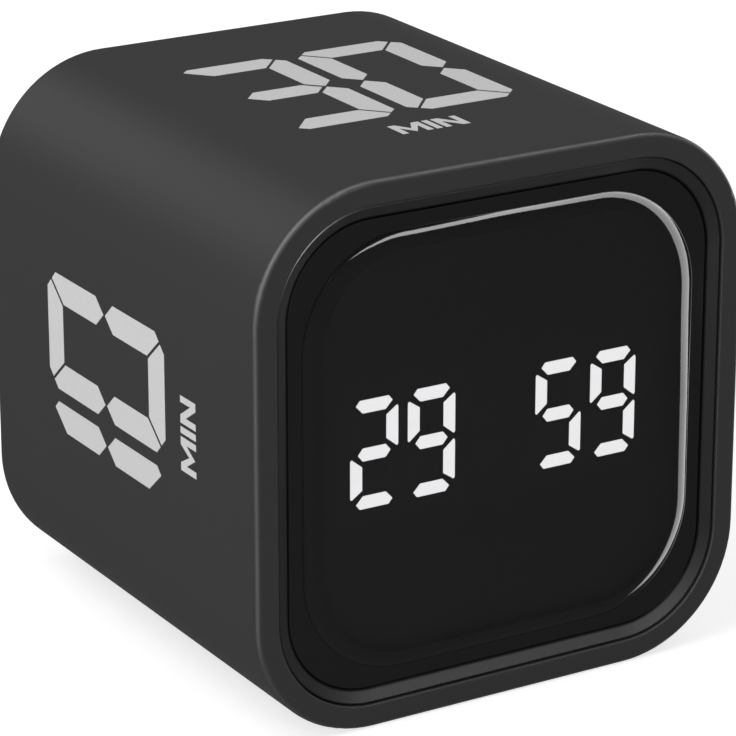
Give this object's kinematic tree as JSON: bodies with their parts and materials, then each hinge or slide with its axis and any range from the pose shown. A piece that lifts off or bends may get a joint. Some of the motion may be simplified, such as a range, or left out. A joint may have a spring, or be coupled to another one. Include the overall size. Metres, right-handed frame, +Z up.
{
  "type": "cube timer",
  "caption": "Rounded cube timer with a dark display window, printed minute presets on its sides, rear buttons, a mode slider and a charging socket.",
  "frame": {"origin": "centre of the underside", "axes": "+X to the right as seen from the front, -Y towards the front with the display, +Z up"},
  "size_m": [0.06, 0.06, 0.06],
  "materials": {
    "case_plastic": "soft-touch coat",
    "print_ink": "printed ink",
    "bezel_plastic": "satin",
    "window_acrylic": "polished, smoke tinted",
    "adhesive_film": "film",
    "display_block_plastic": "moulded",
    "segment_light": "diffusing resin",
    "segment_dark": "diffusing resin",
    "light_chip": "moulded",
    "circuit_board": "solder mask",
    "chip_epoxy": "moulded epoxy",
    "socket_plastic": "moulded",
    "screw_steel": "zinc plated",
    "ribbon_film": "film",
    "frame_plastic": "moulded",
    "battery_foil": "laminated foil",
    "foam_pad": "closed-cell foam",
    "lead_red": "extruded sheath",
    "lead_black": "extruded sheath",
    "lead_blue": "extruded sheath",
    "motor_steel": "drawn",
    "boot_rubber": "moulded",
    "weight_metal": "sintered",
    "small_part_ceramic": "sintered",
    "sounder_plastic": "moulded",
    "key_plastic": "moulded",
    "plunger_plastic": "moulded",
    "button_plastic": "satin",
    "switch_steel": "tin plated",
    "socket_steel": "nickel plated",
    "tongue_plastic": "moulded",
    "pipe_clear": "polished",
    "cover_plastic": "fine texture"
  },
  "bodies": {
    "case": {"outer_shell": "case_plastic", "numerals_top": "print_ink", "numerals_left": "print_ink", "numerals_right": "print_ink", "numerals_bottom": "print_ink", "front_bezel": "bezel_plastic", "display_window": "window_acrylic", "window_tape": "adhesive_film", "display_block": "display_block_plastic", "segments_lit": "segment_light", "segments_unlit": "segment_dark", "display_lights": "light_chip", "charge_light": "light_chip", "display_board": "circuit_board", "main_board": "circuit_board", "display_driver": "chip_epoxy", "controller": "chip_epoxy", "motion_sensor": "chip_epoxy", "charge_controller": "chip_epoxy", "display_socket": "socket_plastic", "main_socket": "socket_plastic", "battery_plug": "socket_plastic", "display_screws": "screw_steel", "frame_screws": "screw_steel", "board_screws": "screw_steel", "cover_screws": "screw_steel", "ribbon_lead": "ribbon_film", "inner_frame": "frame_plastic", "battery": "battery_foil", "battery_pad": "foam_pad", "sounder_gasket": "foam_pad", "battery_lead_red": "lead_red", "battery_lead_black": "lead_black", "motor_leads": "lead_blue", "motor_can": "motor_steel", "motor_boot": "boot_rubber", "small_parts": "small_part_ceramic", "sounder": "sounder_plastic", "key_switches": "key_plastic", "slide_switch": "switch_steel", "usb_shell": "socket_steel", "usb_tongue": "tongue_plastic", "light_pipe": "pipe_clear", "rear_cover": "cover_plastic"},
    "minute_key": {"minute_button": "button_plastic", "minute_plunger": "plunger_plastic"},
    "second_key": {"second_button": "button_plastic", "second_plunger": "plunger_plastic"},
    "start_key": {"start_button": "button_plastic", "start_plunger": "plunger_plastic"},
    "mode_slide": {"mode_slider": "button_plastic", "slide_post": "plunger_plastic"},
    "motor_rotor": {"motor_shaft": "motor_steel", "motor_weight": "weight_metal"}
  },
  "joints": [
    {"name": "minute_press", "type": "slide", "parent": "case", "child": "minute_key", "axis": [0, -1, 0], "range_m": [0, 0.0004], "stiffness_N_per_m": 3000},
    {"name": "second_press", "type": "slide", "parent": "case", "child": "second_key", "axis": [0, -1, 0], "range_m": [0, 0.0004], "stiffness_N_per_m": 3000},
    {"name": "start_press", "type": "slide", "parent": "case", "child": "start_key", "axis": [0, -1, 0], "range_m": [0, 0.0004], "stiffness_N_per_m": 3000},
    {"name": "mode_travel", "type": "slide", "parent": "case", "child": "mode_slide", "axis": [1, 0, 0], "range_m": [-0.002, 0.002]},
    {"name": "motor_spin", "type": "hinge", "parent": "case", "child": "motor_rotor", "pos_m": [0.0047, -0.00905, 0.05075], "axis": [1, 0, 0], "continuous": true}
  ]
}
